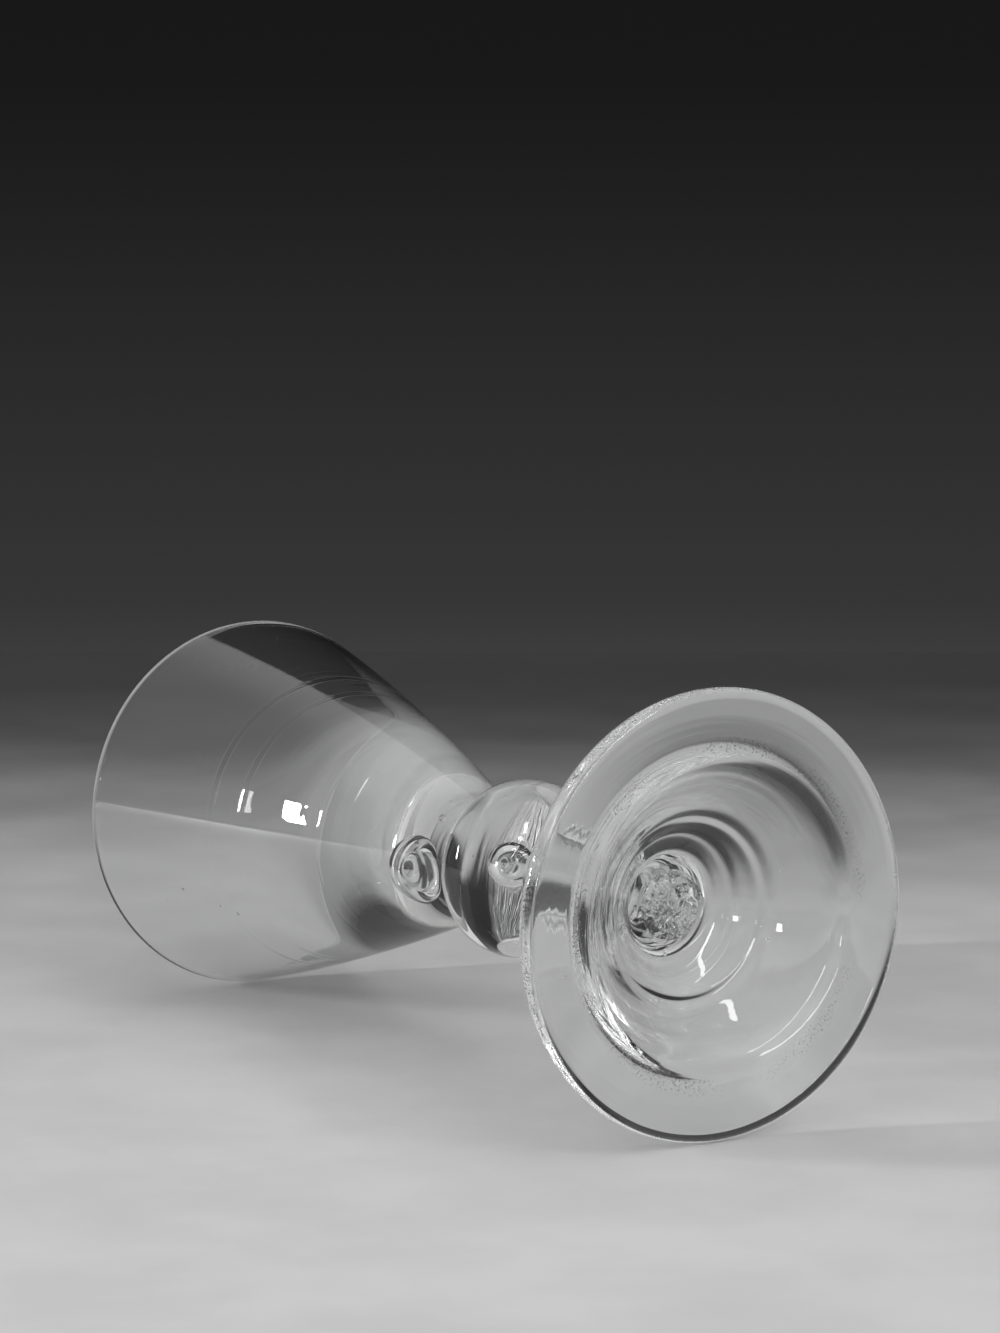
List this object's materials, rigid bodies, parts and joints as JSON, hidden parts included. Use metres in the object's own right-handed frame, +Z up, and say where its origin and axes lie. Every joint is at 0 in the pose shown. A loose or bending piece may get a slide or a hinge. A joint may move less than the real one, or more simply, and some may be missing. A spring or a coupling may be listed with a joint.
{
  "type": "drinking goblet",
  "caption": "Heavy hand-blown drinking goblet: conical bowl on a solid base, flattened ball knop, short waisted stem and a domed foot with a rough pontil mark.",
  "frame": {"origin": "centre of the ring that the foot stands on", "axes": "+Z up along the goblet's axis, from the foot to the rim; X and Y are any two directions square to it"},
  "size_m": [0.082, 0.082, 0.171],
  "materials": {
    "bowl_glass": "clear colourless glass, fire-polished rim, fine tooling rings and seeds",
    "knop_glass": "clear solid glass, smooth",
    "stem_glass": "clear solid glass, smooth",
    "foot_glass": "clear glass with turned rings, worn and finely scratched where it stands",
    "pontil_scar": "rough broken glass"
  },
  "bodies": {
    "root": {"bowl": "bowl_glass", "knop": "knop_glass", "stem": "stem_glass", "foot": "foot_glass", "pontil_mark": "pontil_scar"}
  },
  "joints": []
}
